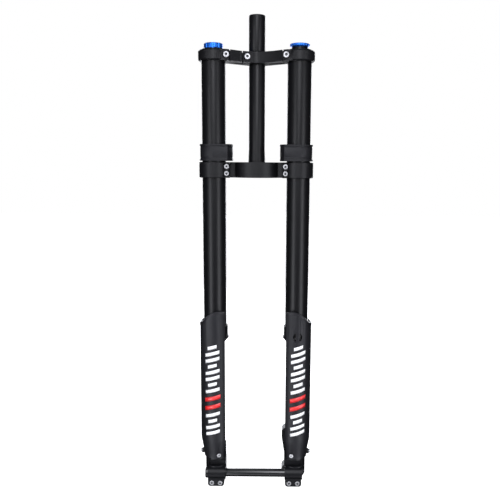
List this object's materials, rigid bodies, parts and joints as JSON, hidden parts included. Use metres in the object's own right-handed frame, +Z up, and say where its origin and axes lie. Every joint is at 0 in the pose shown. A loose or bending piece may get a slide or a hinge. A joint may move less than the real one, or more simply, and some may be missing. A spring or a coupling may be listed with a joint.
{
  "type": "suspension fork",
  "caption": "Inverted dual crown bicycle suspension fork with guarded sliding legs, a straight steerer, a through axle and a post mount for a disc brake.",
  "frame": {"origin": "centre of the crown race seat, on the steerer axis, on top of the lower crown", "axes": "+Z up along the steerer, -Y forwards, +X towards the leg that carries the brake"},
  "size_m": [0.2042, 0.0811, 0.845],
  "materials": {
    "acetal_white": "natural acetal",
    "anodised_black": "satin black anodised aluminium tube",
    "anodised_blue": "bright blue anodised aluminium",
    "bright_screw": "bright plated socket screws",
    "bush_bronze": "bronze backed bush",
    "cast_black": "satin black painted casting",
    "guard_plastic": "fine grained moulded plastic",
    "hard_chrome": "polished hard chrome",
    "machined_black": "fine blasted black anodised aluminium",
    "plain_alloy": "plain turned aluminium",
    "plain_steel": "turned steel",
    "rubber_black": "matte moulded rubber",
    "seal_rubber": "satin nitrile rubber",
    "spring_steel": "drawn spring steel",
    "stanchion_black": "smooth hard anodised black",
    "washer_black": "dull black spacer"
  },
  "bodies": {
    "root": {"steerer_tube": "anodised_black", "lower_crown": "machined_black", "upper_crown": "machined_black", "lower_crown_bolts": "bright_screw", "upper_crown_bolts": "bright_screw", "spring_outer_tube": "anodised_black", "damper_outer_tube": "anodised_black", "spring_frame_bumper": "rubber_black", "damper_frame_bumper": "rubber_black", "spring_seal_housing": "machined_black", "damper_seal_housing": "machined_black", "spring_upper_bush": "bush_bronze", "damper_upper_bush": "bush_bronze", "spring_lower_bush": "bush_bronze", "damper_lower_bush": "bush_bronze", "spring_oil_seal": "seal_rubber", "damper_oil_seal": "seal_rubber", "spring_seal_clip": "spring_steel", "damper_seal_clip": "spring_steel", "spring_dust_wiper": "seal_rubber", "damper_dust_wiper": "seal_rubber", "spring_top_cap": "machined_black", "damper_top_cap": "machined_black", "damper_rod": "hard_chrome", "damper_piston": "plain_alloy", "piston_ring": "acetal_white", "topout_bumper": "seal_rubber", "coil_spring": "spring_steel"},
    "lowers": {"spring_stanchion": "stanchion_black", "damper_stanchion": "stanchion_black", "spring_foot": "cast_black", "damper_foot": "cast_black", "spring_guard": "guard_plastic", "damper_guard": "guard_plastic", "guard_front_screws": "bright_screw", "guard_side_washers": "washer_black", "guard_side_screws": "bright_screw", "axle_pinch_bolts": "bright_screw", "foot_bolts": "bright_screw", "stanchion_base_plugs": "plain_alloy", "spring_spacer": "acetal_white", "spring_seat": "acetal_white", "damper_cartridge": "plain_alloy", "cartridge_head": "plain_alloy", "rod_seal": "seal_rubber"},
    "axle": {"through_axle": "anodised_black", "axle_o_ring": "seal_rubber"},
    "preload_screw": {"preload_knob": "anodised_blue", "preload_shaft": "plain_steel"},
    "preload_slider": {"preload_plug": "acetal_white"},
    "rebound_adjuster": {"rebound_knob": "anodised_blue", "rebound_needle": "plain_steel"}
  },
  "joints": [
    {"name": "fork_travel", "type": "slide", "parent": "root", "child": "lowers", "axis": [0, 0, 1], "range_m": [0, 0.17], "stiffness_N_per_m": 6500, "springref_m": -0.025, "deforming": ["coil_spring"]},
    {"name": "axle_slide", "type": "slide", "parent": "lowers", "child": "axle", "axis": [-1, 0, 0], "range_m": [0, 0.18]},
    {"name": "preload_turn", "type": "hinge", "parent": "root", "child": "preload_screw", "pos_m": [-0.0735, -0.028, 0.19], "axis": [0, 0, -1], "range_deg": [0, 1080]},
    {"name": "preload_plug_slide", "type": "slide", "parent": "root", "child": "preload_slider", "axis": [0, 0, -1], "range_m": [0, 0.0091]},
    {"name": "rebound_turn", "type": "hinge", "parent": "root", "child": "rebound_adjuster", "pos_m": [0.0735, -0.028, 0.19], "axis": [0, 0, -1], "range_deg": [0, 270]}
  ],
  "couplings": [
    {"joint": "preload_plug_slide", "follows": "preload_turn", "m_per_rad": 0.00047746}
  ]
}
